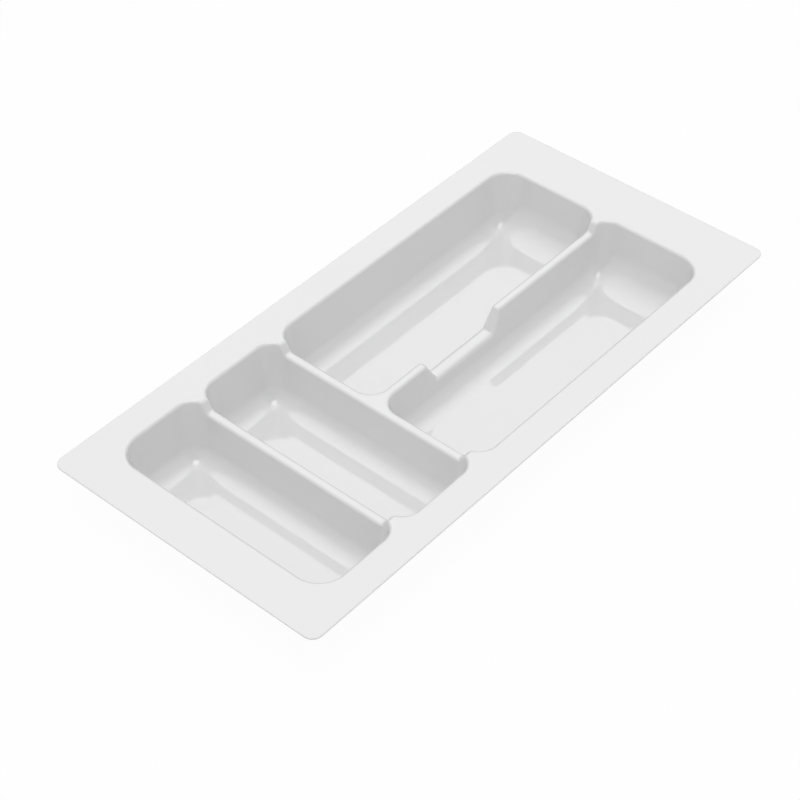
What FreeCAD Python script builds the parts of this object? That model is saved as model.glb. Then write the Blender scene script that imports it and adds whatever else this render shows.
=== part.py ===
import FreeCAD, Part
import math
import os

# Cutlery tray: one sheet of plastic, formed over a mould and trimmed round its edge.
# X runs across the tray, Y along it from front to rear, and Z up from the floors' undersides.
# The sheet is kept as its formed zones: the flat rim, a floor and a wall for each compartment,
# and the lowered divider tops, one of them with a finger notch.

# Overall sizes of the trimmed sheet, in millimetres.
TRAY_LENGTH = 490.0
TRAY_WIDTH = 235.0
TRAY_HEIGHT = 49.0
SHEET = 1.5
TRIM_CORNER = 8.0

# Flat rim between the trimmed edge and the compartments.
RIM_SIDE = 23.9
RIM_FRONT = 33.6
RIM_REAR = 43.6

# Compartments, measured at the rim's height: the long pair takes what the two cross ones leave.
CROSS_COMPARTMENT = 73.0
CROSS_DIVIDER = 4.9
LONG_DIVIDER = 4.8
WALL_DRAFT = 7.0
OUTER_CORNER = 20.0
DIVIDER_CORNER = 14.5

# Inside radii of the sheet's bends: at the floors, at the rear ends of the long compartments, where
# long cutlery slides up and out, and where the walls turn over at their tops.
FLOOR_BEND = 14.5
REAR_BEND = 28.0
TOP_BEND = 1.2

# Divider tops lie below the rim, and run up to it in two bends at each end.
DIVIDER_DROP = 8.2
END_LEDGE = 6.8
END_SLOPE = 58.0
END_BEND = 3.0

# Finger notch in the long divider, measured between the corners of its outline.
# Its centre is measured from the front of the long compartments.
NOTCH_FLOOR = 60.6
NOTCH_DEPTH = 16.5
NOTCH_CENTRE = 91.2
NOTCH_SLOPE = 59.0
NOTCH_BEND = 1.5

# Flat strip that each zone keeps beside a bend, so that no cut runs along the end of a bend.
BEND_LAND = 0.25

# Room by which a cutting tool stands clear of what it cuts, and the distance that counts as touching.
TOOL_ROOM = 10.0
TOUCH = 0.01

draft = math.radians(WALL_DRAFT)
rim_z = TRAY_HEIGHT
divider_z = rim_z - DIVIDER_DROP
side_x = TRAY_WIDTH / 2 - RIM_SIDE
front_y = -TRAY_LENGTH / 2 + RIM_FRONT
rear_y = TRAY_LENGTH / 2 - RIM_REAR
half_cross = CROSS_DIVIDER / 2
half_long = LONG_DIVIDER / 2
front_divider_y = front_y + CROSS_COMPARTMENT + half_cross
middle_divider_y = front_divider_y + CROSS_DIVIDER + CROSS_COMPARTMENT
long_start_y = middle_divider_y + half_cross

# How far a zone reaches over the bend at the top of a wall, at the rim and on a lowered divider,
# and how far a floor's edge lies inside the wall's foot.
rim_reach = (SHEET + TOP_BEND) * math.tan((math.pi / 2 - draft) / 2) + BEND_LAND
divider_reach = rim_reach - DIVIDER_DROP * math.tan(draft)
floor_reach = FLOOR_BEND * math.tan((math.pi / 2 - draft) / 2) + BEND_LAND

# Axis of the wider bend at the rear: its radius above the floor and before the leaning wall.
rear_bend_z = SHEET + REAR_BEND
rear_bend_y = rear_y - (rim_z - rear_bend_z) * math.tan(draft) - REAR_BEND / math.cos(draft)

# A compartment's box at the rim's height, what lies on its left, right, front and rear sides,
# and its corner radii from the front left corner, against the clock.
compartments = {
    "front_compartment": {
        "box": (-side_x, side_x, front_y, front_divider_y - half_cross),
        "reach": (rim_reach, rim_reach, rim_reach, divider_reach),
        "radii": (OUTER_CORNER, OUTER_CORNER, DIVIDER_CORNER, DIVIDER_CORNER),
    },
    "middle_compartment": {
        "box": (-side_x, side_x, front_divider_y + half_cross, middle_divider_y - half_cross),
        "reach": (rim_reach, rim_reach, divider_reach, divider_reach),
        "radii": (DIVIDER_CORNER, DIVIDER_CORNER, DIVIDER_CORNER, DIVIDER_CORNER),
    },
    "left_compartment": {
        "box": (-side_x, -half_long, long_start_y, rear_y),
        "reach": (rim_reach, divider_reach, divider_reach, rim_reach),
        "radii": (DIVIDER_CORNER, DIVIDER_CORNER, DIVIDER_CORNER, OUTER_CORNER),
    },
    "right_compartment": {
        "box": (half_long, side_x, long_start_y, rear_y),
        "reach": (divider_reach, rim_reach, divider_reach, rim_reach),
        "radii": (DIVIDER_CORNER, DIVIDER_CORNER, OUTER_CORNER, DIVIDER_CORNER),
    },
}


def grown_box(box, reach):
    """Box with its left, right, front and rear sides moved outwards."""
    x0, x1, y0, y1 = box
    left, right, front, rear = reach
    return (x0 - left, x1 + right, y0 - front, y1 + rear)


def corner_centres(box, radii):
    """Centres of a box's rounded corners, from the front left one, against the clock."""
    x0, x1, y0, y1 = box
    return [
        (x0 + radii[0], y0 + radii[0]),
        (x1 - radii[1], y0 + radii[1]),
        (x1 - radii[2], y1 - radii[2]),
        (x0 + radii[3], y1 - radii[3]),
    ]


def rounded_wire(box, radii, z):
    """Closed wire at height z round a box with rounded corners."""
    arcs = []
    for turn, (centre, radius) in enumerate(zip(corner_centres(box, radii), radii)):
        points = []
        for step in range(3):
            angle = math.pi * (1 + turn / 2 + step / 4)
            x = centre[0] + radius * math.cos(angle)
            y = centre[1] + radius * math.sin(angle)
            points.append(FreeCAD.Vector(x, y, z))
        arcs.append(points)
    edges = []
    for turn, points in enumerate(arcs):
        following = arcs[(turn + 1) % len(arcs)]
        edges.append(Part.Arc(*points).toShape())
        edges.append(Part.LineSegment(points[-1], following[0]).toShape())
    return Part.Wire(edges)


def upright(wire):
    """Block over a flat wire, through the whole height of the tray."""
    base = Part.Face(wire)
    base.translate(FreeCAD.Vector(0, 0, -TOOL_ROOM - wire.BoundBox.ZMin))
    return base.extrude(FreeCAD.Vector(0, 0, rim_z + 2 * TOOL_ROOM))


def upright_box(x0, x1, y0, y1):
    """Square-cornered block through the whole height of the tray."""
    corners = [(x0, y0), (x1, y0), (x1, y1), (x0, y1), (x0, y0)]
    return upright(Part.makePolygon([FreeCAD.Vector(x, y, 0) for x, y in corners]))


def wall_outline(compartment, grow, z):
    """Box and corner radii of a compartment's wall at height z, moved by grow into the sheet."""
    shift = grow / math.cos(draft) - (rim_z - z) * math.tan(draft)
    box = grown_box(compartment["box"], (shift, shift, shift, shift))
    return box, [radius + grow for radius in compartment["radii"]]


def rear_slope(compartment, grow):
    """Block that fills a void's rear end up to the wider bend between its floor and its rear wall."""
    x0, x1 = compartment["box"][:2]
    radius = REAR_BEND + grow

    def on_bend(angle):
        y = rear_bend_y + radius * math.sin(angle)
        return FreeCAD.Vector(x0 - TOOL_ROOM, y, rear_bend_z - radius * math.cos(angle))

    whole = math.pi / 2 - draft
    foot, middle, head = on_bend(0), on_bend(whole / 2), on_bend(whole)
    below = foot - FreeCAD.Vector(0, 0, TOOL_ROOM)
    behind = head + FreeCAD.Vector(0, TOOL_ROOM, 0)
    outline = [head, behind, FreeCAD.Vector(below.x, behind.y, below.z), below, foot]
    edges = [Part.Arc(foot, middle, head).toShape()]
    for start, end in zip(outline, outline[1:]):
        edges.append(Part.LineSegment(start, end).toShape())
    return Part.Face(Part.Wire(edges)).extrude(FreeCAD.Vector(x1 - x0 + 2 * TOOL_ROOM, 0, 0))


def compartment_void(compartment, grow):
    """Space of a compartment, its surface moved by grow into the sheet."""
    floor_z = SHEET - grow
    sections = []
    for z in (floor_z, rim_z + TOOL_ROOM):
        box, radii = wall_outline(compartment, grow, z)
        sections.append(rounded_wire(box, radii, z))
    faces = [Part.Face(section) for section in sections]
    for low, high in zip(sections[0].OrderedEdges, sections[1].OrderedEdges):
        rise = high.firstVertex().Point - low.firstVertex().Point
        if isinstance(low.Curve, Part.Circle):
            faces.append(low.extrude(rise))
        else:
            foot = [low.firstVertex().Point, low.lastVertex().Point]
            head = [high.lastVertex().Point, high.firstVertex().Point]
            faces.append(Part.Face(Part.makePolygon(foot + head + foot[:1])))
    shell = Part.Shell(faces)
    shell.sewShape()
    shell.reverse()
    body = Part.Solid(shell)
    floor_edges = [edge for edge in body.Edges if edge.BoundBox.ZMax < floor_z + TOUCH]
    void = body.makeFillet(FLOOR_BEND + grow, floor_edges)
    if compartment["box"][3] == rear_y:
        void = void.cut(rear_slope(compartment, grow)).Solids[0]
    return void


def turn_at(corners, index):
    """Slopes of a profile before and after one of its corners."""
    along, z = corners[index][:2]
    slopes = []
    if index > 0:
        slopes.append(math.atan2(z - corners[index - 1][1], along - corners[index - 1][0]))
    if index < len(corners) - 1:
        slopes.append(math.atan2(corners[index + 1][1] - z, corners[index + 1][0] - along))
    return slopes[0], slopes[-1]


def lowered(corners, grow):
    """Profile moved down, square to its lines, by grow: hollow bends widen and rounded ones tighten."""
    moved = []
    for index, (along, z, radius) in enumerate(corners):
        slope_in, slope_out = turn_at(corners, index)
        half_turn = (slope_out - slope_in) / 2
        middle = (slope_in + slope_out) / 2
        reach = grow / math.cos(half_turn)
        new_radius = radius + math.copysign(grow, half_turn)
        moved.append((along + reach * math.sin(middle), z - reach * math.cos(middle), new_radius))
    return moved


def straight_edge(start, end):
    """Line between two points, or nothing where they meet."""
    if start.isEqual(end, TOUCH):
        return []
    return [Part.LineSegment(start, end).toShape()]


def profile_edges(corners, place):
    """Edges along a profile with its corners rounded, each point put in space by place."""
    edges = []
    start = place(*corners[0][:2])
    for index in range(1, len(corners) - 1):
        along, z, radius = corners[index]
        slope_in, slope_out = turn_at(corners, index)
        half_turn = (slope_out - slope_in) / 2
        middle = (slope_in + slope_out) / 2
        tangent = radius * math.tan(abs(half_turn))
        sag = math.copysign(radius / math.cos(half_turn) - radius, half_turn)
        first = place(along - tangent * math.cos(slope_in), z - tangent * math.sin(slope_in))
        nearest = place(along - sag * math.sin(middle), z + sag * math.cos(middle))
        last = place(along + tangent * math.cos(slope_out), z + tangent * math.sin(slope_out))
        edges += straight_edge(start, first)
        edges.append(Part.Arc(first, nearest, last).toShape())
        start = last
    return edges + straight_edge(start, place(*corners[-1][:2]))


def trough(corners, place, sweep):
    """Tool that clears everything above a profile, over the given sweep."""
    edges = profile_edges(corners, place)
    top = rim_z + TOOL_ROOM
    first = corners[0][0]
    last = corners[-1][0]
    outline = [place(*corners[-1][:2]), place(last, top), place(first, top), place(*corners[0][:2])]
    for start, end in zip(outline, outline[1:]):
        edges.append(Part.LineSegment(start, end).toShape())
    return Part.Face(Part.Wire(edges)).extrude(sweep)


def divider_end(tip):
    """Corners where a divider's top runs up to the rim, which is flat again from tip onwards."""
    angle = math.radians(END_SLOPE)
    rim_bend = END_BEND + SHEET
    rim_corner = tip - rim_bend * math.tan(angle / 2)
    foot_corner = rim_corner - DIVIDER_DROP / math.tan(angle)
    return [(foot_corner, divider_z, END_BEND), (rim_corner, rim_z, rim_bend), (tip, rim_z, 0)]


cross_tip = side_x - END_LEDGE
long_tip = rear_y - END_LEDGE
cross_reach = half_cross + DIVIDER_CORNER
long_reach = half_long + DIVIDER_CORNER

right_end = divider_end(cross_tip)
left_end = [(-along, z, radius) for along, z, radius in reversed(right_end)]
cross_profile = left_end + right_end

notch_run = NOTCH_DEPTH / math.tan(math.radians(NOTCH_SLOPE))
notch_front = long_start_y + NOTCH_CENTRE - NOTCH_FLOOR / 2
notch_rear = notch_front + NOTCH_FLOOR
notch_z = divider_z - NOTCH_DEPTH
notch_mouth_front = notch_front - notch_run
notch_mouth_rear = notch_rear + notch_run
notch_profile = [
    (notch_mouth_front, divider_z, NOTCH_BEND + SHEET),
    (notch_front, notch_z, NOTCH_BEND),
    (notch_rear, notch_z, NOTCH_BEND),
    (notch_mouth_rear, divider_z, NOTCH_BEND + SHEET),
]
long_profile = [(middle_divider_y, divider_z, 0)] + notch_profile + divider_end(long_tip)


def cross_trough(centre, grow):
    """Tool above the top of a divider that runs across the tray."""

    def place(along, z):
        return FreeCAD.Vector(along, centre - cross_reach, z)

    return trough(lowered(cross_profile, grow), place, FreeCAD.Vector(0, 2 * cross_reach, 0))


def long_trough(grow):
    """Tool above the top of the long divider and its finger notch."""

    def place(along, z):
        return FreeCAD.Vector(-long_reach, along, z)

    return trough(lowered(long_profile, grow), place, FreeCAD.Vector(2 * long_reach, 0, 0))


def distance_to_outline(box, radii, x, y):
    """Distance from a point to a rounded box's outline."""
    x0, x1, y0, y1 = box
    distance = min(abs(x - x0), abs(x - x1), abs(y - y0), abs(y - y1))
    corners = [(x0, y0), (x1, y0), (x1, y1), (x0, y1)]
    for corner, centre, radius in zip(corners, corner_centres(box, radii), radii):
        beyond_x = (x - centre[0]) * (corner[0] - centre[0])
        beyond_y = (y - centre[1]) * (corner[1] - centre[1])
        if beyond_x > 0 and beyond_y > 0:
            distance = abs(math.hypot(x - centre[0], y - centre[1]) - radius)
    return distance


def wall_top_edges(body, grow):
    """Sharp edges where the compartments' walls end at the top of the sheet."""
    picked = []
    for edge in body.Edges:
        middle = edge.valueAt((edge.FirstParameter + edge.LastParameter) / 2)
        on_rear_bend = middle.y > rear_bend_y and middle.z < rear_bend_z
        above_floor_bend = edge.BoundBox.ZMin > SHEET + FLOOR_BEND and not on_rear_bend
        for compartment in compartments.values():
            box, radii = wall_outline(compartment, grow, middle.z)
            on_wall = distance_to_outline(box, radii, middle.x, middle.y) < TOUCH
            inside_x = box[0] - TOUCH < middle.x < box[1] + TOUCH
            inside_y = box[2] - TOUCH < middle.y < box[3] + TOUCH
            if above_floor_bend and on_wall and inside_x and inside_y:
                picked.append(edge)
    return picked


def solid_below(outline, grow):
    """All that lies below the sheet's upper face, or below its lower face where grow is its thickness."""
    base = Part.Face(outline)
    base.translate(FreeCAD.Vector(0, 0, -TOOL_ROOM))
    body = base.extrude(FreeCAD.Vector(0, 0, rim_z - grow + TOOL_ROOM))
    voids = [compartment_void(compartment, grow) for compartment in compartments.values()]
    troughs = [cross_trough(centre, grow) for centre in (front_divider_y, middle_divider_y)]
    body = body.cut(voids).cut(troughs + [long_trough(grow)])
    return body.makeFillet(SHEET + TOP_BEND - grow, wall_top_edges(body, grow))


trim_box = (-TRAY_WIDTH / 2, TRAY_WIDTH / 2, -TRAY_LENGTH / 2, TRAY_LENGTH / 2)
trim_outline = rounded_wire(trim_box, [TRIM_CORNER] * 4, 0)
outer_outline = rounded_wire(grown_box(trim_box, [TOOL_ROOM] * 4), [TRIM_CORNER + TOOL_ROOM] * 4, 0)
sheet = solid_below(trim_outline, 0).cut(solid_below(outer_outline, SHEET)).Solids[0]

# Zones: a compartment takes the sheet inside its outline, down to the floor's edge.
wall_zones = {}
floor_zones = {}
for name, compartment in compartments.items():
    zone_box = grown_box(compartment["box"], compartment["reach"])
    zone_radii = [radius + rim_reach for radius in compartment["radii"]]
    wall_zones[name] = upright(rounded_wire(zone_box, zone_radii, 0))
    floor_box, foot_radii = wall_outline(compartment, 0, SHEET)
    floor_box = grown_box(floor_box, [-floor_reach] * 4)
    floor_radii = [radius - floor_reach for radius in foot_radii]
    floor_zones[name] = upright(rounded_wire(floor_box, floor_radii, 0))

# The notch's zone widens from the divider's top to the notch's floor, as the walls do.
notch_half_top = half_long - divider_reach
notch_half_floor = notch_half_top + NOTCH_DEPTH * math.tan(draft)
notch_start = notch_mouth_front - NOTCH_BEND - SHEET - BEND_LAND
notch_end = notch_mouth_rear + NOTCH_BEND + SHEET + BEND_LAND
notch_half_outline = [
    (notch_half_top, notch_start),
    (notch_half_top, notch_mouth_front),
    (notch_half_floor, notch_front),
    (notch_half_floor, notch_rear),
    (notch_half_top, notch_mouth_rear),
    (notch_half_top, notch_end),
]
notch_outline = notch_half_outline + [(-x, y) for x, y in reversed(notch_half_outline)]
notch_points = [FreeCAD.Vector(x, y, 0) for x, y in notch_outline]
notch_zone = upright(Part.makePolygon(notch_points + notch_points[:1]))

# The other dividers take what the compartments leave, from end to end.
cross_end = cross_tip + BEND_LAND
long_end_y = long_tip + BEND_LAND
long_front_y = middle_divider_y + cross_reach
divider_zones = {
    "front_divider": (-cross_end, cross_end, front_divider_y - cross_reach, front_divider_y + cross_reach),
    "middle_divider": (-cross_end, cross_end, middle_divider_y - cross_reach, long_front_y),
    "long_divider_front": (-long_reach, long_reach, long_front_y, notch_start),
    "long_divider_rear": (-long_reach, long_reach, notch_end, long_end_y),
}
divider_zones = {name: upright_box(*box) for name, box in divider_zones.items()}

# One split of the sheet by all zones gives each zone its own solid, and the rim is what is left over.
wall_zones = {name: zone.cut(notch_zone) for name, zone in wall_zones.items()}
zones = {}
for name in compartments:
    zones[name + "_floor"] = floor_zones[name]
    zones[name + "_wall"] = wall_zones[name].cut(floor_zones[name]).Solids[0]
for name, zone in divider_zones.items():
    zones[name] = zone.cut(list(wall_zones.values())).Solids[0]
zones["finger_notch"] = notch_zone
sheet_pieces, *zone_pieces = sheet.generalFuse(list(zones.values()))[1]

nodes = {}
for name, pieces in zip(zones, zone_pieces):
    for piece in sheet_pieces:
        if any(piece.isSame(other) for other in pieces):
            nodes[name] = piece
for piece in sheet_pieces:
    if not any(piece.isSame(shape) for shape in nodes.values()):
        nodes["rim_flange"] = piece

os.makedirs("parts", exist_ok=True)
for name, shape in nodes.items():
    shape.exportStep(f"parts/{name}.step")
    print(f"{name}: {len(shape.Solids)} solid, {shape.Volume:.0f} cubic mm, valid {shape.isValid()}")
total = sum(shape.Volume for shape in nodes.values())
print(f"sheet {sheet.Volume:.1f} cubic mm, its zones together {total:.1f}")
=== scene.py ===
# %% [markdown]
# # A cutlery tray, drawn from one sheet
# The real tray is a sheet of white plastic, warmed until it is soft, drawn into a mould and trimmed.
# Nothing is added to it afterwards: its looks are its bends, its even thickness and its gloss.
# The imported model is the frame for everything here. It has the zones of the sheet as solids,
# and each of them is replaced by a finer surface that follows the same sizes.

# %% Load the frame
import math
import bpy
import numpy as np
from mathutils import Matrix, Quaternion, Vector


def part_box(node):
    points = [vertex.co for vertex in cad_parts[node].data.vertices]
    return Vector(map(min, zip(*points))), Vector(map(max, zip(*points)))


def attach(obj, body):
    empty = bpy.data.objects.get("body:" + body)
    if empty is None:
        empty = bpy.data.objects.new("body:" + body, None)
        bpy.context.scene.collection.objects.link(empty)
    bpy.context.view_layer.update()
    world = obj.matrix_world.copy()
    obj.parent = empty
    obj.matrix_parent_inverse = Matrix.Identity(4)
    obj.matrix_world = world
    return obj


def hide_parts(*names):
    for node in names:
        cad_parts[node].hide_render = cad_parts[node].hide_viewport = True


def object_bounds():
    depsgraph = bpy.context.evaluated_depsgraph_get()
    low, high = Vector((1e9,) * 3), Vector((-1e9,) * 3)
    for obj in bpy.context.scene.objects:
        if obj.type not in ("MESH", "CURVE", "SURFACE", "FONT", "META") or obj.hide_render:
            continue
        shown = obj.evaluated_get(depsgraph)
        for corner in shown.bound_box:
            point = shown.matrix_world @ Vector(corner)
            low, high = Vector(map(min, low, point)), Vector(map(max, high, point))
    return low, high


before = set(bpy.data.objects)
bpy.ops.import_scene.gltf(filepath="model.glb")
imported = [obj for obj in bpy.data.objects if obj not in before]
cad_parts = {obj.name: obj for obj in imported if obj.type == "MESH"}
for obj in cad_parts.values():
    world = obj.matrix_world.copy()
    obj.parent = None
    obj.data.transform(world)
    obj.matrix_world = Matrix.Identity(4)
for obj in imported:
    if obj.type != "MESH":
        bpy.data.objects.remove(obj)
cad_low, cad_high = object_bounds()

print("nodes:", sorted(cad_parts))
print("box in metres:", tuple(cad_low), tuple(cad_high))

# %% [markdown]
# ## The camera
# The photograph's frame is square. The four corners of the trimmed rim lie on a rectangle of known
# sides, which gives the lens, the place and the direction of the camera. The slight roll comes from
# the same four corners.

# %% Camera at the photograph's viewing angle
CAMERA_PLACE = Vector((0.68727, -0.81165, 1.01165))
CAMERA_TARGET = Vector((0.01714, -0.04931, 0.049))
CAMERA_ROLL = math.radians(-0.52)
CAMERA_LENS = 92.43
CAMERA_SENSOR = 36.0
NEAREST_SEEN = 0.05
FARTHEST_SEEN = 50.0

camera_data = bpy.data.cameras.new("camera")
camera_data.sensor_width = CAMERA_SENSOR
camera_data.lens = CAMERA_LENS
camera_data.clip_start = NEAREST_SEEN
camera_data.clip_end = FARTHEST_SEEN
camera = bpy.data.objects.new("camera", camera_data)
bpy.context.scene.collection.objects.link(camera)
camera.location = CAMERA_PLACE
sight = (CAMERA_TARGET - CAMERA_PLACE).normalized()
camera.rotation_mode = "QUATERNION"
camera.rotation_quaternion = Quaternion(sight, -CAMERA_ROLL) @ sight.to_track_quat("-Z", "Y")
bpy.context.scene.camera = camera
print("camera looks along", tuple(round(part, 4) for part in sight))

# %% [markdown]
# ## Sizes of the mould
# A mould needs leaning walls, so that the part comes off it, and rounded corners, so that the sheet
# doesn't tear. These few sizes are typed here. Everything that the frame knows, such as heights and
# the places of the compartments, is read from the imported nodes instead.

# %% Sheet, bends and heights
SHEET = 0.0015
WALL_LEAN = math.radians(7)
TOP_BEND = 0.0027
FLOOR_BEND = 0.0145
REAR_BEND = 0.028
OUTER_CORNER = 0.020
DIVIDER_CORNER = 0.0145
TRIM_CORNER = 0.008
NODE_LAND = 0.00025

lean = math.tan(WALL_LEAN)
rim_z = cad_high.z
floor_z = cad_low.z + SHEET
divider_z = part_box("front_divider")[0].z + SHEET
notch_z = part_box("finger_notch")[0].z + SHEET
print(f"rim {rim_z:.4f}, dividers {divider_z:.4f}, notch {notch_z:.4f}, floors {floor_z:.4f}")

# %% [markdown]
# ## Where the compartments stand
# A wall's node ends a little beyond the bend at its top. Taking that strip off the node's box leaves
# the compartment's outline at the height of the rim. The strip is narrower at a divider, because the
# divider's top is lower and the wall has leaned in by then.

# %% Outlines of the compartments
SIDES = ("front", "right", "rear", "left")
CORNER_SIGNS = np.array([(-1, -1), (1, -1), (1, 1), (-1, 1)])

rim_strip = TOP_BEND * math.tan((math.pi / 2 - WALL_LEAN) / 2) + NODE_LAND
divider_strip = rim_strip - (rim_z - divider_z) * lean


def compartment(name, dividers, outer_corners):
    """A compartment's corner centres and radii at the rim's height, and the height of each side's top.
    Corners count from the front left one, against the clock, and each lies before its own side."""
    low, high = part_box(name + "_wall")
    tops = np.array([divider_z if side in dividers else rim_z for side in SIDES])
    strip = np.where(tops < rim_z, divider_strip, rim_strip)
    x = low.x + strip[3], high.x - strip[1]
    y = low.y + strip[0], high.y - strip[2]
    corners = np.array([(x[0], y[0]), (x[1], y[0]), (x[1], y[1]), (x[0], y[1])])
    radii = np.full(4, DIVIDER_CORNER)
    radii[list(outer_corners)] = OUTER_CORNER
    return {"name": name, "centres": corners - CORNER_SIGNS * radii[:, None], "radii": radii, "tops": tops}


front = compartment("front_compartment", ("rear",), outer_corners=(0, 1))
middle = compartment("middle_compartment", ("front", "rear"), outer_corners=())
left = compartment("left_compartment", ("front", "right"), outer_corners=(3,))
for shape in (front, middle, left):
    print(shape["name"], "corner centres", shape["centres"].round(4).tolist())

# %% [markdown]
# ## Profiles along the dividers
# Seen from the side, a divider's top is a row of straight lines with rounded corners: level, up in an
# S to the rim at each end, and for the long one down into the finger notch and up again. A Bezier
# curve could imitate that, but arcs keep the radii exact, and the underside is then a parallel line.

# %% Rounded profiles
ARC_STEPS = 13
END_SLOPE = math.radians(58)
END_BEND = 0.003
NOTCH_SLOPE = math.radians(59)
NOTCH_BEND = 0.0015


def rounded_profile(corners):
    """Points and normals along a profile of (along, height, radius) corners, ends without a radius.
    On each arc the normal turns evenly from one line's to the next's. The point is the arc's start plus
    the radius times the change of the normal, outwards for a hollow bend and inwards for a round one."""
    corners = np.array(corners, float)
    steps = np.diff(corners[:, :2], axis=0)
    slopes = np.arctan2(steps[:, 1], steps[:, 0])
    points = []
    normals = []
    for corner, slope_in, slope_out in zip(corners[1:-1], slopes, slopes[1:]):
        half_turn = (slope_out - slope_in) / 2
        run_in = corner[2] * math.tan(abs(half_turn))
        start = corner[:2] - run_in * np.array([math.cos(slope_in), math.sin(slope_in)])
        slope = np.linspace(slope_in, slope_out, ARC_STEPS)
        normal = np.stack([-np.sin(slope), np.cos(slope)], -1)
        points.append(start + math.copysign(corner[2], half_turn) * (normal[0] - normal))
        normals.append(normal)
    return np.concatenate(points), np.concatenate(normals)


def divider_rise(tip):
    """Profile of a divider's end: level, up at the slope, and level again at the rim from tip onwards."""
    rim_bend = END_BEND + SHEET
    rim_corner = tip - rim_bend * math.tan(END_SLOPE / 2)
    foot_corner = rim_corner - (rim_z - divider_z) / math.tan(END_SLOPE)
    return rounded_profile([
        (0.0, divider_z, 0.0),
        (foot_corner, divider_z, END_BEND),
        (rim_corner, rim_z, rim_bend),
        (tip + rim_bend, rim_z, 0.0),
    ])


def finger_dip():
    """Profile of the notch: level, down at the slope to the notch's floor, and up again."""
    low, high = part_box("finger_notch")
    beyond = NOTCH_BEND + SHEET + NODE_LAND
    run = (divider_z - notch_z) / math.tan(NOTCH_SLOPE)
    mouth_front, mouth_rear = low.y + beyond, high.y - beyond
    return rounded_profile([
        (low.y, divider_z, 0.0),
        (mouth_front, divider_z, NOTCH_BEND + SHEET),
        (mouth_front + run, notch_z, NOTCH_BEND),
        (mouth_rear - run, notch_z, NOTCH_BEND),
        (mouth_rear, divider_z, NOTCH_BEND + SHEET),
        (high.y, divider_z, 0.0),
    ])


right_rise = divider_rise(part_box("front_divider")[1].x - NODE_LAND)
left_rise = [values[::-1] * (-1, 1) for values in right_rise]
rear_rise = divider_rise(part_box("long_divider_rear")[1].y - NODE_LAND)
notch_dip = finger_dip()
print("S at the ends:", np.ptp(right_rise[0][:, 0]).round(4), "m long")

# %% [markdown]
# ## A wall as a function
# A compartment's wall is the outline of its mould, leaning outwards as it rises. Its corners keep one
# radius all the way up, so only their centres move. One number, the turn, says where round the outline
# a point lies: 0 to 1 is the front left corner, 1 to 2 the front side, and so on up to 8.

# %% Outline and leaning wall
RING_PARTS = 8
FRONT_MIDDLE = 1.5


def outline(shape, turn):
    """Point of the outline at the rim's height, its outward normal, and its drift.
    On a corner the point is the centre plus the radius times the normal, which turns evenly.
    On a side it moves evenly between the corners beside it. The drift is how far the point moves in X
    and Y where a straight wall would move by one: a corner's centre moves by one in both."""
    part = np.minimum(turn.astype(int), RING_PARTS - 1)
    corner = part // 2
    following = (corner + 1) % 4
    share = turn - part
    on_corner = part % 2 == 0
    angle = np.pi + (corner + np.where(on_corner, share, 1.0)) * np.pi / 2
    normal = np.stack([np.cos(angle), np.sin(angle)], -1)
    here = shape["centres"][corner] + shape["radii"][corner][..., None] * normal
    there = shape["centres"][following] + shape["radii"][following][..., None] * normal
    along = np.where(on_corner, 0.0, share)[..., None]
    drift = CORNER_SIGNS[corner] + along * (CORNER_SIGNS[following] - CORNER_SIGNS[corner])
    return here + along * (there - here), normal, drift


def wall_face(shape, turn, z):
    """Point of the wall at height z and the wall's normal, which faces into the compartment.
    The outline moves by its drift times the tangent of the lean for each metre of height."""
    point, normal, drift = outline(shape, turn)
    slope = lean * (normal * drift).sum(-1)
    point = point + drift * (lean * (z - rim_z))[..., None]
    facing = np.concatenate([-normal, slope[..., None]], -1) / np.sqrt(1 + slope**2)[..., None]
    return np.concatenate([point, z[..., None]], -1), facing


rim_point, floor_point = wall_face(front, np.full(2, FRONT_MIDDLE), np.array([rim_z, floor_z]))[0]
print("the front wall leans out by", (floor_point - rim_point)[1].round(4), "m over its height")

# %% [markdown]
# ## Where a wall ends at its top
# A ball rolled along under the top, touching both the wall and the top, leaves the bend between them.
# Under a level top its centre is easy to place. Where the top runs up in an S round a corner, or dips
# into the notch, the centre lies one radius below the profile, and the place on the wall follows from it.
# The warm sheet rounds off more in the notch, where it is drawn over a deep edge, so the ball grows there.

# %% Top edges of the walls
CORNER_STEPS = 40
SIDE_STEP = 0.0025
NOTCH_BALL = 0.0042
SETTLING_ROUNDS = 20
UP = np.array([0.0, 0.0, 1.0])


def ball_under(height):
    """Radius of the ball under a top at this height: below the dividers it grows with the square of the
    depth, up to the notch's floor."""
    depth = np.clip((divider_z - height) / (divider_z - notch_z), 0, 1)
    return TOP_BEND + (NOTCH_BALL - TOP_BEND) * depth**2


def columns_between(shape, start, end):
    """Evenly spread turns from start to end, without the end. Both lie on one corner or on one side."""
    part = int(start)
    centres = shape["centres"][[part // 2, (part // 2 + 1) % 4]]
    steps = math.ceil((end - start) * np.abs(centres[1] - centres[0]).max() / SIDE_STEP)
    return np.linspace(start, end, steps if part % 2 else CORNER_STEPS, endpoint=False)


def level_edge(shape, first, last, top):
    """Turn, height on the wall, normal of the top and ball, where the bend starts under a level top.
    The ball's centre lies one radius below the top, and it touches the wall a bit higher than that."""
    marks = np.concatenate([[first], np.arange(math.floor(first) + 1, math.ceil(last)), [last]])
    turn = np.concatenate([columns_between(shape, start, end) for start, end in zip(marks, marks[1:])])
    facing = wall_face(shape, turn, np.full(turn.shape, rim_z))[1]
    ball = np.full(turn.shape, TOP_BEND)
    return turn, top - ball * (1 - facing[:, 2]), np.broadcast_to(UP, facing.shape), ball


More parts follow.
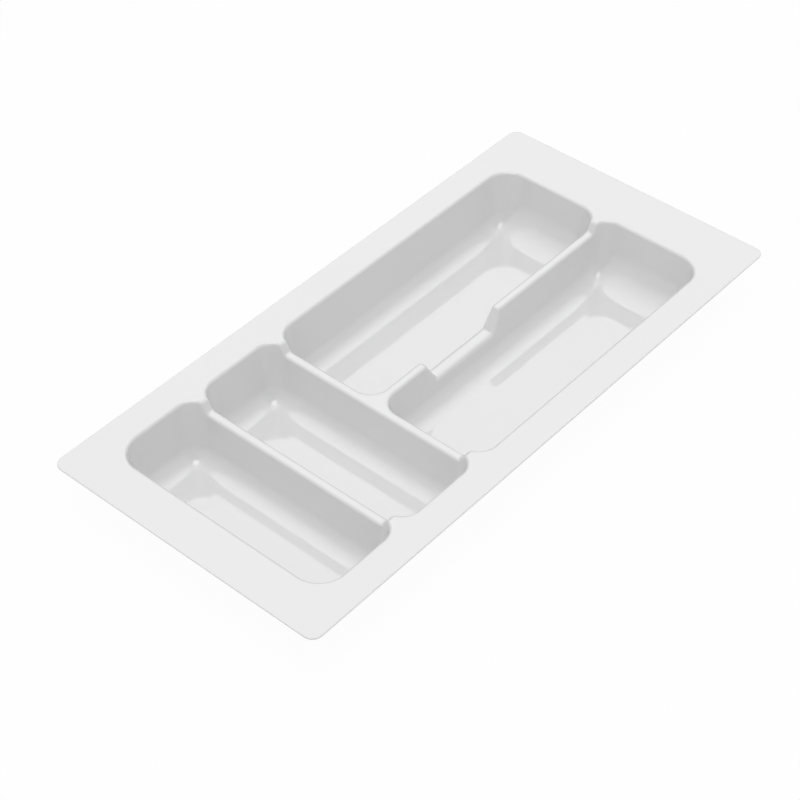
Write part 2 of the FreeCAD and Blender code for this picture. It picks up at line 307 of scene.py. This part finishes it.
def profile_edge(shape, side, profile):
    """The same under a profile along one side. How far the ball's centre lies beyond a corner's centre,
    over the corner's radius plus the ball's, is the sine of the angle turned round that corner.
    The wall's lean depends on that angle a little, so the sum is repeated until it stands still."""
    points, normals = profile
    ball = ball_under(points[:, 1])
    along, height = (points - ball[:, None] * normals).T
    axis = side % 2
    ends = np.array([side, (side + 1) % 4])
    signs = CORNER_SIGNS[ends, axis][:, None]
    slope = np.full(along.shape, lean)
    for _ in range(SETTLING_ROUNDS):
        tilt = np.sqrt(1 + slope**2)
        z = height + ball * slope / tilt
        moved = shape["centres"][ends, axis][:, None] + signs * lean * (z - rim_z)
        out = signs * (along - moved) / (shape["radii"][ends][:, None] + ball / tilt)
        out = np.clip(out, 0, 1)
        sine = out.max(axis=0)
        slope = lean * (sine + np.sqrt(1 - sine**2))
    share = np.clip((along - moved[0]) / (moved[1] - moved[0]), 0, 1)
    before, after = np.arcsin(out) / (np.pi / 2)
    turn = 2 * side + 1 + share - before + after
    up = np.zeros((len(z), 3))
    up[:, axis] = normals[:, 0]
    up[:, 2] = normals[:, 1]
    step = 1 if signs[0] < 0 else -1
    return turn[::step], z[::step], up[::step], ball[::step]


def add_top_edge(shape, profiles):
    """Joins the profiles, given with their sides, by level edges into one ring, and adds the points where
    the bend meets the top. Each level edge keeps the height at which the profile before it ends."""
    edges = [profile_edge(shape, side, profile) for side, profile in profiles]
    sections = []
    first, top = 0.0, rim_z
    for turn, z, up, ball in edges:
        sections += [level_edge(shape, first, turn[0], top), (turn[:-1], z[:-1], up[:-1], ball[:-1])]
        ending = wall_face(shape, turn[-1:], z[-1:])[1][0, 2]
        first, top = turn[-1], z[-1] + ball[-1] * (1 - ending)
    sections.append(level_edge(shape, first, RING_PARTS, top))
    turn, z, up, ball = (np.concatenate(values) for values in zip(*sections))
    point, facing = wall_face(shape, turn, z)
    shape.update(turn=turn, z=z, up=up, ball=ball[:, None], top=point + ball[:, None] * (up - facing))
    return edges


add_top_edge(front, [(2, right_rise), (2, left_rise)])
add_top_edge(middle, [(0, left_rise), (0, right_rise), (2, right_rise), (2, left_rise)])
notch_turns = add_top_edge(left, [(0, left_rise), (1, notch_dip), (1, rear_rise)])[1][0]
for shape in (front, middle, left):
    print(shape["name"], len(shape["turn"]), "columns, lowest top", shape["top"][:, 2].min().round(5))

# %% [markdown]
# ## From a face to a sheet
# Each zone of the tray is worked out as one face with its normals. The sheet's other face lies one
# thickness behind it along those normals, which is exact wherever a bend is an arc. Strips close the
# edges. A Solidify modifier could do this too, but then the normals at the joins between zones would be
# guessed from their own triangles, and faint lines would show where one zone meets the next.

# %% Mesh helpers
formed = []


def grid_faces(index):
    """Corner indices of the quads of a grid of vertex indices."""
    return np.stack([index[:-1, :-1], index[:-1, 1:], index[1:, 1:], index[1:, :-1]], -1).reshape(-1, 4)


def flat_normals(vertices, faces):
    """Each quad's own normal, the cross product of its diagonals, for its four corners."""
    a, b, c, d = (vertices[faces[:, corner]] for corner in range(4))
    normal = np.cross(c - a, d - b)
    normal /= np.linalg.norm(normal, axis=-1, keepdims=True)
    return np.repeat(normal[:, None], 4, axis=1)


def formed_piece(node, vertices, normals, smooth_faces, edge_faces):
    """Object that stands for a node: smooth faces take the given normals, the edge strips their own.
    All faces are turned round together if they point against the normals."""
    if (flat_normals(vertices, smooth_faces) * normals[smooth_faces]).sum() < 0:
        smooth_faces, edge_faces = smooth_faces[:, ::-1], edge_faces[:, ::-1]
    faces = np.concatenate([smooth_faces, edge_faces])
    corner_normals = np.concatenate([normals[smooth_faces], flat_normals(vertices, edge_faces)])
    mesh = bpy.data.meshes.new(node + "_formed")
    mesh.vertices.add(len(vertices))
    mesh.vertices.foreach_set("co", vertices.astype(np.float32).ravel())
    mesh.loops.add(faces.size)
    mesh.loops.foreach_set("vertex_index", faces.astype(np.int32).ravel())
    mesh.polygons.add(len(faces))
    mesh.polygons.foreach_set("loop_start", np.arange(0, faces.size, 4, dtype=np.int32))
    mesh.update(calc_edges=True)
    mesh.polygons.foreach_set("use_smooth", np.ones(len(faces), bool))
    mesh.normals_split_custom_set(corner_normals.reshape(-1, 3))
    piece = bpy.data.objects.new(node + "_formed", mesh)
    bpy.context.scene.collection.objects.link(piece)
    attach(piece, "root")
    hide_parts(node)
    formed.append(piece)
    print(piece.name, len(vertices), "vertices,", len(faces), "quads")


def sheet_piece(node, points, normals, ring=False):
    """Closed sheet from a grid of points on its upper face: the lower face is the upper one minus the
    thickness times the normals. A ring's last column joins its first."""
    rows, columns = points.shape[:2]
    vertices = np.concatenate([points, points - SHEET * normals]).reshape(-1, 3)
    upper = np.arange(rows * columns).reshape(rows, columns)
    if ring:
        upper = np.concatenate([upper, upper[:, :1]], axis=1)
    lower = upper + rows * columns
    edges = [(lower[0], upper[0]), (upper[-1], lower[-1])]
    if not ring:
        edges += [(upper[:, 0], lower[:, 0]), (lower[:, -1], upper[:, -1])]
    edge_faces = np.concatenate([grid_faces(np.stack(edge)) for edge in edges])
    smooth_faces = np.concatenate([grid_faces(upper), grid_faces(lower)[:, ::-1]])
    both_normals = np.concatenate([normals, -normals]).reshape(-1, 3)
    formed_piece(node, vertices, both_normals, smooth_faces, edge_faces)


def mirrored(values):
    """The same points or normals on the other side of the tray's middle plane."""
    return values * np.array([-1.0, 1.0, 1.0])


# %% [markdown]
# ## The walls
# Each wall is a profile carried round its compartment: the bend out of the floor, the leaning wall and
# the bend at the top. The columns spread evenly round each corner at the floor, and at the top they
# crowd where a divider ends, so on the way up they slide sideways along the wall, never off it.
# The long compartments turn up in a wider bend at their rear ends, so that long cutlery slides out.
# That bend is rolled in afterwards: whatever lies below it moves onto it, and a soft crease is left in
# the corners. The right long compartment mirrors the left one.

# %% Walls of the four compartments
FLOOR_BEND_ROWS = 16
WALL_ROWS = 16
TOP_BEND_ROWS = 10
CREASE = 0.007
LEAST_WIDTH = 1e-9


def turned(start, end, share):
    """Unit vectors that turn evenly from start to end: each is weighted by the sine of the angle that
    is left to the other, over the sine of the whole angle."""
    whole = np.arccos(np.clip((start * end).sum(-1), -1, 1))[None, :, None]
    share = share[:, None, None]
    return (np.sin((1 - share) * whole) * start + np.sin(share * whole) * end) / np.sin(whole)


def floor_bend(shape, turn):
    """Height at which the floor's bend meets the wall, the wall's normal, and the bend's centre."""
    facing = wall_face(shape, turn, np.full(turn.shape, rim_z))[1]
    z = floor_z + FLOOR_BEND * (1 - facing[:, 2])
    return z, facing, wall_face(shape, turn, z)[0] + FLOOR_BEND * facing


bend_axis_z = floor_z + REAR_BEND
rear_wall_y = left["centres"][3, 1] + OUTER_CORNER - (rim_z - bend_axis_z) * lean
bend_axis = np.array([rear_wall_y - REAR_BEND / math.cos(WALL_LEAN), bend_axis_z])


def rolled_in(points, normals):
    """The same surface with the wider rear bend. A point behind the bend's axis and below its end on the
    wall moves towards the axis, by as much as it is further away than the radius. Where the two surfaces
    meet at an angle, a parabola rounds off the change: its width grows with the square of the normals'
    difference. The normals are mixed in the same proportion as the surfaces."""
    away = points[..., 1:] - bend_axis
    distance = np.linalg.norm(away, axis=-1, keepdims=True)
    toward = np.concatenate([np.zeros_like(distance), -away / distance], -1)
    behind = away[..., :1] > 0
    below = away[..., :1] * math.sin(WALL_LEAN) + away[..., 1:] * math.cos(WALL_LEAN) < 0
    width = np.maximum(CREASE * ((normals - toward) ** 2).sum(-1, keepdims=True), LEAST_WIDTH)
    depth = np.where(behind & below, distance - REAR_BEND, -width)
    share = np.clip((depth + width) / (2 * width), 0, 1)
    step = np.where(share < 1, width * share**2, depth)
    mixed = normals + share * (toward - normals)
    return points + step * toward, mixed / np.linalg.norm(mixed, axis=-1, keepdims=True)


def wall_grid(shape):
    """Points and normals of a wall, from the floor's edge up to the edge of the rim or the divider."""
    turn, z, up = shape["turn"], shape["z"], shape["up"]
    foot = turn.copy()
    for corner in range(0, RING_PARTS, 2):
        columns = np.flatnonzero(turn.astype(int) == corner)
        foot[columns] = corner + np.arange(len(columns)) / len(columns)
    foot_z, foot_facing, foot_centre = floor_bend(shape, foot)
    low_normals = turned(np.broadcast_to(UP, up.shape), foot_facing, np.linspace(0, 1, FLOOR_BEND_ROWS))
    low = foot_centre - FLOOR_BEND * low_normals
    share = np.linspace(0, 1, WALL_ROWS)[1:-1, None]
    wall, wall_normals = wall_face(shape, foot + share * (turn - foot), foot_z + share * (z - foot_z))
    point, facing = wall_face(shape, turn, z)
    high_normals = turned(facing, up, np.linspace(0, 1, TOP_BEND_ROWS))
    high = point + shape["ball"] * (high_normals - facing)
    points = np.concatenate([low, wall, high])
    return rolled_in(points, np.concatenate([low_normals, wall_normals, high_normals]))


for shape in (front, middle, left):
    wall_points, wall_normals = wall_grid(shape)
    sheet_piece(shape["name"] + "_wall", wall_points, wall_normals, ring=True)
sheet_piece("right_compartment_wall", mirrored(wall_points), mirrored(wall_normals), ring=True)

# %% [markdown]
# ## The floors
# A floor is flat and ends where the bends begin, except that a long one reaches a little way up the wider
# bend at its rear. Straight lines are drawn across it, from each point of its left edge to the same point
# of its right edge.

# %% Floors of the four compartments
FLOOR_COLUMNS = 17
FLOOR_ROWS = 100
ROUND_STEPS = 17
TIGHT_STEPS = 3


def floor_grid(shape):
    """Points and normals of a floor: the left edge, the right edge, and even steps between them.
    The bend leaves almost nothing of a divider's corner, so that three points are enough there."""
    round_corner = shape["radii"] > DIVIDER_CORNER
    front_corner, rear_corner = (
        np.linspace(0, 1, ROUND_STEPS if pair.any() else TIGHT_STEPS)
        for pair in (round_corner[:2], round_corner[2:])
    )
    side = np.linspace(0, 1, FLOOR_ROWS)[1:-1]
    left_turn = np.concatenate([1 - front_corner, RING_PARTS - side, 7 - rear_corner])
    right_turn = np.concatenate([2 + front_corner, 3 + side, 4 + rear_corner])
    left_edge, right_edge = (
        floor_bend(shape, turn)[2] - FLOOR_BEND * UP for turn in (left_turn, right_turn)
    )
    across = np.linspace(0, 1, FLOOR_COLUMNS)[:, None, None]
    points = left_edge + across * (right_edge - left_edge)
    return rolled_in(points, np.broadcast_to(UP, points.shape))


for shape in (front, middle, left):
    floor_points, floor_normals = floor_grid(shape)
    sheet_piece(shape["name"] + "_floor", floor_points, floor_normals)
sheet_piece("right_compartment_floor", mirrored(floor_points), mirrored(floor_normals))

# %% [markdown]
# ## The divider tops
# Between two walls the divider's top is a ruled strip: straight lines from one wall's edge to the
# other's. The normals are those of the profile along the divider, the same on both edges.

# %% Divider tops and the finger notch
STRIP_ROWS = 7
SAME_LEVEL = 1e-7
RIGHT_SIDE_START = 3.0


def runs(chosen):
    """Stretches of columns in which `chosen` holds, following the ring across its start."""
    starts = np.flatnonzero(chosen & ~np.roll(chosen, 1))
    lengths = [np.argmin(np.roll(chosen, -start)) for start in starts]
    return [(start + np.arange(length)) % len(chosen) for start, length in zip(starts, lengths)]


def divider_runs(shape):
    """Stretches of a wall's top edge along a divider, with the two ends that lie on the rim."""
    below = shape["top"][:, 2] < rim_z - SAME_LEVEL
    return [np.concatenate([[run[0] - 1], run, [(run[-1] + 1) % len(below)]]) for run in runs(below)]


def strip_piece(node, one_edge, other_edge, normals):
    """Top of a divider between two edges with as many points each."""
    across = np.linspace(0, 1, STRIP_ROWS)[:, None, None]
    points = one_edge + across * (other_edge - one_edge)
    sheet_piece(node, points, np.broadcast_to(normals, points.shape))


front_rear = divider_runs(front)[0][::-1]
middle_front, middle_rear = divider_runs(middle)
middle_rear = middle_rear[::-1]
left_run = divider_runs(left)[0]
left_turn = left["turn"][left_run]

strip_piece(
    "front_divider", front["top"][front_rear], middle["top"][middle_front], middle["up"][middle_front]
)

wing = left_run[left_turn <= RIGHT_SIDE_START]
wing_edge = left["top"][wing]
cross_edge = np.concatenate([wing_edge, mirrored(wing_edge[::-1])])
cross_normals = np.concatenate([left["up"][wing], mirrored(left["up"][wing][::-1])])
near_edge = cross_edge.copy()
near_edge[:, 1] = np.interp(cross_edge[:, 0], middle["top"][middle_rear, 0], middle["top"][middle_rear, 1])
strip_piece("middle_divider", near_edge, cross_edge, cross_normals)

for node, first, last in (
    ("long_divider_front", RIGHT_SIDE_START, notch_turns[0]),
    ("finger_notch", notch_turns[0], notch_turns[-1]),
    ("long_divider_rear", notch_turns[-1], RING_PARTS),
):
    stretch = left_run[(left_turn >= first) & (left_turn <= last)]
    edge = left["top"][stretch]
    strip_piece(node, edge, mirrored(edge), left["up"][stretch])

# %% [markdown]
# ## The rim
# The rim is a flat band between the compartments and the trimmed edge. A cutter leaves the edge square,
# and it is rounded off afterwards, so that it doesn't scratch a hand. Light fades softly across it then.
# Each point of the inner edge has a partner on the outer one: straight across beside the sides, and
# round the corners in step.

# %% Rim with its trimmed edge
EDGE_ROUND = 0.0007
EDGE_STEPS = 5
RIM_ROWS = 7
ARC_FROM = 0.3
ARC_TO = 0.7


def rim_runs(shape):
    """Stretches of a wall's top edge along the rim."""
    return [shape["top"][run] for run in runs(shape["top"][:, 2] >= rim_z - SAME_LEVEL)]


def trimmed_edge(inner):
    """Partners of the inner points on the outer edge, and the outward normals there.
    A point beside the straight sides goes straight out. Round a corner, the angle of the inner point
    becomes a share of the way along one side, round the trimmed corner and along the next side."""
    core_low = front["centres"][0]
    core_high = np.array([-core_low[0], left["centres"][3][1]])
    core = np.clip(inner[:, :2], core_low, core_high)
    sign = np.where(inner[:, :2] < 0, -1.0, 1.0)
    reach = np.abs(inner[:, :2] - core)
    share = np.arctan2(reach[:, 1], reach[:, 0]) / (np.pi / 2)
    half_size = np.array([cad_high.x, cad_high.y])
    angle = np.clip((share - ARC_FROM) / (ARC_TO - ARC_FROM), 0, 1) * np.pi / 2
    normal = sign * np.stack([np.cos(angle), np.sin(angle)], -1)
    arc = sign * (half_size - TRIM_CORNER) + TRIM_CORNER * normal
    before = np.clip(share / ARC_FROM, 0, 1)
    after = np.clip((share - ARC_TO) / (1 - ARC_TO), 0, 1)
    x = arc[:, 0] + after * (core[:, 0] - arc[:, 0])
    y = core[:, 1] + before * (arc[:, 1] - core[:, 1])
    return np.stack([x, y], -1), normal


def rim_band(inner):
    """Points and normals of the rim's section, carried round the inner edge: out along the upper face,
    round the two rounded corners of the trimmed edge, and back along the lower face."""
    outer, outward = trimmed_edge(inner)
    outward = np.concatenate([outward, np.zeros((len(outward), 1))], -1)
    brim = np.concatenate([outer, inner[:, 2:]], -1) - EDGE_ROUND * outward
    share = np.linspace(0, 1, RIM_ROWS)[:-1, None, None]
    upper = inner + share * (brim - inner)
    upper_normals = np.broadcast_to(UP, upper.shape)
    angle = np.linspace(np.pi / 2, 0, EDGE_STEPS)[:, None, None]
    upper_arc = np.cos(angle) * outward + np.sin(angle) * UP
    lower_arc = (upper_arc * (1, 1, -1))[::-1]
    drop = SHEET * UP
    sunk = EDGE_ROUND * UP
    upper_round = brim - sunk + EDGE_ROUND * upper_arc
    lower_round = brim - drop + sunk + EDGE_ROUND * lower_arc
    points = np.concatenate([upper, upper_round, lower_round, upper[::-1] - drop])
    return points, np.concatenate([upper_normals, upper_arc, lower_arc, -upper_normals])


middle_right, middle_left = rim_runs(middle)
right_runs = [mirrored(run[::-1]) for run in rim_runs(left)]
inner = np.concatenate(rim_runs(front) + [middle_right] + right_runs + rim_runs(left) + [middle_left])
band, band_normals = rim_band(inner)
index = np.arange(band.shape[0] * band.shape[1]).reshape(band.shape[:2])
index = np.concatenate([index, index[:, :1]], axis=1)
closing = grid_faces(np.stack([index[-1], index[0]]))
formed_piece("rim_flange", band.reshape(-1, 3), band_normals.reshape(-1, 3), grid_faces(index), closing)

# %% [markdown]
# ## The plastic
# Sheet for such trays is white right through, with a gloss that forming dulls a little. A single flat
# colour would look like a drawing. So the gloss varies softly from place to place, the face has the
# faint ripple of a sheet that was soft once, and a very fine grain breaks up the sharpest reflections.

# %% White plastic sheet
SHEET_WHITE = (0.80, 0.80, 0.80, 1.0)
SHEET_SHADE = (0.78, 0.78, 0.78, 1.0)
SHEET_IOR = 1.55
CLOUD_SCALE = 14.0
CLOUD_DETAIL = 3.0
ROUGHNESS_FROM = 0.05
ROUGHNESS_TO = 0.09
RIPPLE_SCALE = 35.0
RIPPLE_DETAIL = 1.0
RIPPLE_STRENGTH = 0.05
RIPPLE_DEPTH = 0.001
GRAIN_SCALE = 2600.0
GRAIN_DETAIL = 2.0
GRAIN_STRENGTH = 0.03
GRAIN_DEPTH = 0.0001
COLOUR_A = 6
COLOUR_B = 7
MIXED_COLOUR = 2


def linked(tree, kind, sockets, settings=()):
    """Adds a node to a tree of nodes. Each socket gets a value, or a link from another node's output."""
    node = tree.nodes.new(kind)
    for name, value in dict(settings).items():
        setattr(node, name, value)
    for name, value in sockets.items():
        if isinstance(value, bpy.types.NodeSocket):
            tree.links.new(value, node.inputs[name])
        else:
            node.inputs[name].default_value = value
    return node


def noise(tree, scale, detail):
    """Noise from 0 to 1 on Object coordinates."""
    place = tree.nodes.new("ShaderNodeTexCoord").outputs["Object"]
    sockets = {"Vector": place, "Scale": scale, "Detail": detail}
    return linked(tree, "ShaderNodeTexNoise", sockets).outputs["Fac"]


def white_sheet():
    """Glossy white plastic: noise drives its tone and its gloss, and a ripple and a grain of its face.
    The mix node has sockets of one name for each kind of value, so its colours are taken by number."""
    material = bpy.data.materials.new("white_sheet_plastic")
    material.use_nodes = True
    tree = material.node_tree
    cloud = noise(tree, CLOUD_SCALE, CLOUD_DETAIL)
    tones = {"Factor": cloud, COLOUR_A: SHEET_SHADE, COLOUR_B: SHEET_WHITE}
    tone = linked(tree, "ShaderNodeMix", tones, {"data_type": "RGBA"})
    gloss = linked(
        tree, "ShaderNodeMapRange", {"Value": cloud, "To Min": ROUGHNESS_FROM, "To Max": ROUGHNESS_TO}
    )
    waves = {
        "Height": noise(tree, RIPPLE_SCALE, RIPPLE_DETAIL),
        "Strength": RIPPLE_STRENGTH,
        "Distance": RIPPLE_DEPTH,
    }
    ripple = linked(tree, "ShaderNodeBump", waves)
    specks = {
        "Height": noise(tree, GRAIN_SCALE, GRAIN_DETAIL),
        "Strength": GRAIN_STRENGTH,
        "Distance": GRAIN_DEPTH,
        "Normal": ripple.outputs["Normal"],
    }
    grain = linked(tree, "ShaderNodeBump", specks)
    shader = tree.nodes["Principled BSDF"]
    shader.inputs["IOR"].default_value = SHEET_IOR
    tree.links.new(tone.outputs[MIXED_COLOUR], shader.inputs["Base Color"])
    tree.links.new(gloss.outputs["Result"], shader.inputs["Roughness"])
    tree.links.new(grain.outputs["Normal"], shader.inputs["Normal"])
    return material


plastic = white_sheet()
for piece in formed:
    piece.data.materials.append(plastic)
print(len(formed), "pieces in", plastic.name)

# %% [markdown]
# ## Floor and light
# The photograph's background is plain white. Here a white floor carries the tray's own soft shadow.
# A soft panel hangs almost straight above, a little towards the camera: it lights the two walls that
# face the camera alike, and leaves a bright dot in each rear corner. The sky lights everything evenly.
# In reflections it is a light tent, lit on its left and rear sides: the rim, the floors and the bends
# show its gloss, and the part of a floor that mirrors a wall instead stays darker, with a clear edge.
# The tent's foot is darker, because a flat rim seen from low down mirrors far more of what it faces.

# %% Floor, world and soft panel
PLAIN_WHITE = (1.0, 1.0, 1.0, 1.0)
FLOOR_SIZE = 12.0
FLOOR_DROP = 0.0001
FLOOR_WHITE = (0.9, 0.9, 0.9, 1.0)
FLOOR_GLOW = 0.96
SKY_LIGHT = 0.585
TENT_LIGHT = 2.8
TENT_FOOT_LIGHT = 0.5
TENT_SIDE = (-0.8, 0.6, 0.0)
TENT_FROM = -0.5
TENT_TO = 0.45
FOOT_FROM = 0.35
FOOT_TO = 0.6
KEY_PLACE = Vector((0.52, -0.66, 2.9))
KEY_SIZE = 1.6
KEY_POWER = 31.6


def plain_floor():
    """White floor: to the camera it is mostly plain white, and some of its own shading adds the shadow."""
    material = bpy.data.materials.new("white_floor")
    material.use_nodes = True
    tree = material.node_tree
    tree.nodes.remove(tree.nodes["Principled BSDF"])
    shaded = linked(tree, "ShaderNodeBsdfDiffuse", {"Color": FLOOR_WHITE})
    white = linked(tree, "ShaderNodeEmission", {"Color": PLAIN_WHITE, "Strength": 1.0})
    rays = tree.nodes.new("ShaderNodeLightPath")
    seen = linked(
        tree, "ShaderNodeMath", {0: rays.outputs["Is Camera Ray"], 1: FLOOR_GLOW}, {"operation": "MULTIPLY"}
    )
    mix = linked(
        tree, "ShaderNodeMixShader", {"Fac": seen.outputs[0], 1: shaded.outputs[0], 2: white.outputs[0]}
    )
    tree.links.new(mix.outputs[0], tree.nodes["Material Output"].inputs["Surface"])
    mesh = bpy.data.meshes.new("floor")
    half = FLOOR_SIZE / 2
    corners = [(half * x, half * y, cad_low.z - FLOOR_DROP) for x, y in CORNER_SIGNS.tolist()]
    mesh.from_pydata(corners, [], [(0, 1, 2, 3)])
    mesh.materials.append(material)
    floor = bpy.data.objects.new("floor", mesh)
    bpy.context.scene.collection.objects.link(floor)


def smooth_step(tree, value, start, end, low, high):
    """Output that goes smoothly from low to high while the value goes from start to end."""
    sockets = {"Value": value, "From Min": start, "From Max": end, "To Min": low, "To Max": high}
    settings = {"interpolation_type": "SMOOTHSTEP"}
    return linked(tree, "ShaderNodeMapRange", sockets, settings).outputs["Result"]


def studio_world():
    """World that is white to the camera, an even light for shading, and a tent in reflections.
    The tent's strength grows in a smooth step with the cosine between a direction and the lit side.
    Its full strength grows in a second smooth step with the direction's height, from the tent's foot."""
    world = bpy.data.worlds.new("studio")
    world.use_nodes = True
    bpy.context.scene.world = world
    tree = world.node_tree
    rays = tree.nodes.new("ShaderNodeLightPath")
    direction = tree.nodes.new("ShaderNodeTexCoord").outputs["Generated"]
    height = linked(tree, "ShaderNodeSeparateXYZ", {"Vector": direction}).outputs["Z"]
    facing = linked(
        tree, "ShaderNodeVectorMath", {0: direction, 1: TENT_SIDE}, {"operation": "DOT_PRODUCT"}
    ).outputs["Value"]
    full = smooth_step(tree, height, FOOT_FROM, FOOT_TO, TENT_FOOT_LIGHT, TENT_LIGHT)
    tent = smooth_step(tree, facing, TENT_FROM, TENT_TO, 0.0, full)
    lit = {"Value": rays.outputs["Is Glossy Ray"], "To Min": SKY_LIGHT, "To Max": tent}
    sky = linked(tree, "ShaderNodeMapRange", lit).outputs["Result"]
    strength = linked(
        tree, "ShaderNodeMath", {0: sky, 1: rays.outputs["Is Camera Ray"]}, {"operation": "MAXIMUM"}
    )
    background = tree.nodes["Background"]
    background.inputs["Color"].default_value = PLAIN_WHITE
    tree.links.new(strength.outputs[0], background.inputs["Strength"])


def soft_panel(name, place, size, power):
    """Square area light that faces the tray."""
    lamp = bpy.data.lights.new(name, "AREA")
    lamp.shape = "SQUARE"
    lamp.size = size
    lamp.energy = power
    panel = bpy.data.objects.new(name, lamp)
    panel.location = place
    panel.rotation_mode = "QUATERNION"
    panel.rotation_quaternion = (CAMERA_TARGET - place).to_track_quat("-Z", "Y")
    bpy.context.scene.collection.objects.link(panel)


plain_floor()
studio_world()
soft_panel("key_panel", KEY_PLACE, KEY_SIZE, KEY_POWER)
bpy.context.scene.view_settings.view_transform = "Standard"
print("panel", KEY_SIZE, "m wide at", tuple(KEY_PLACE), "and sky of strength", SKY_LIGHT)
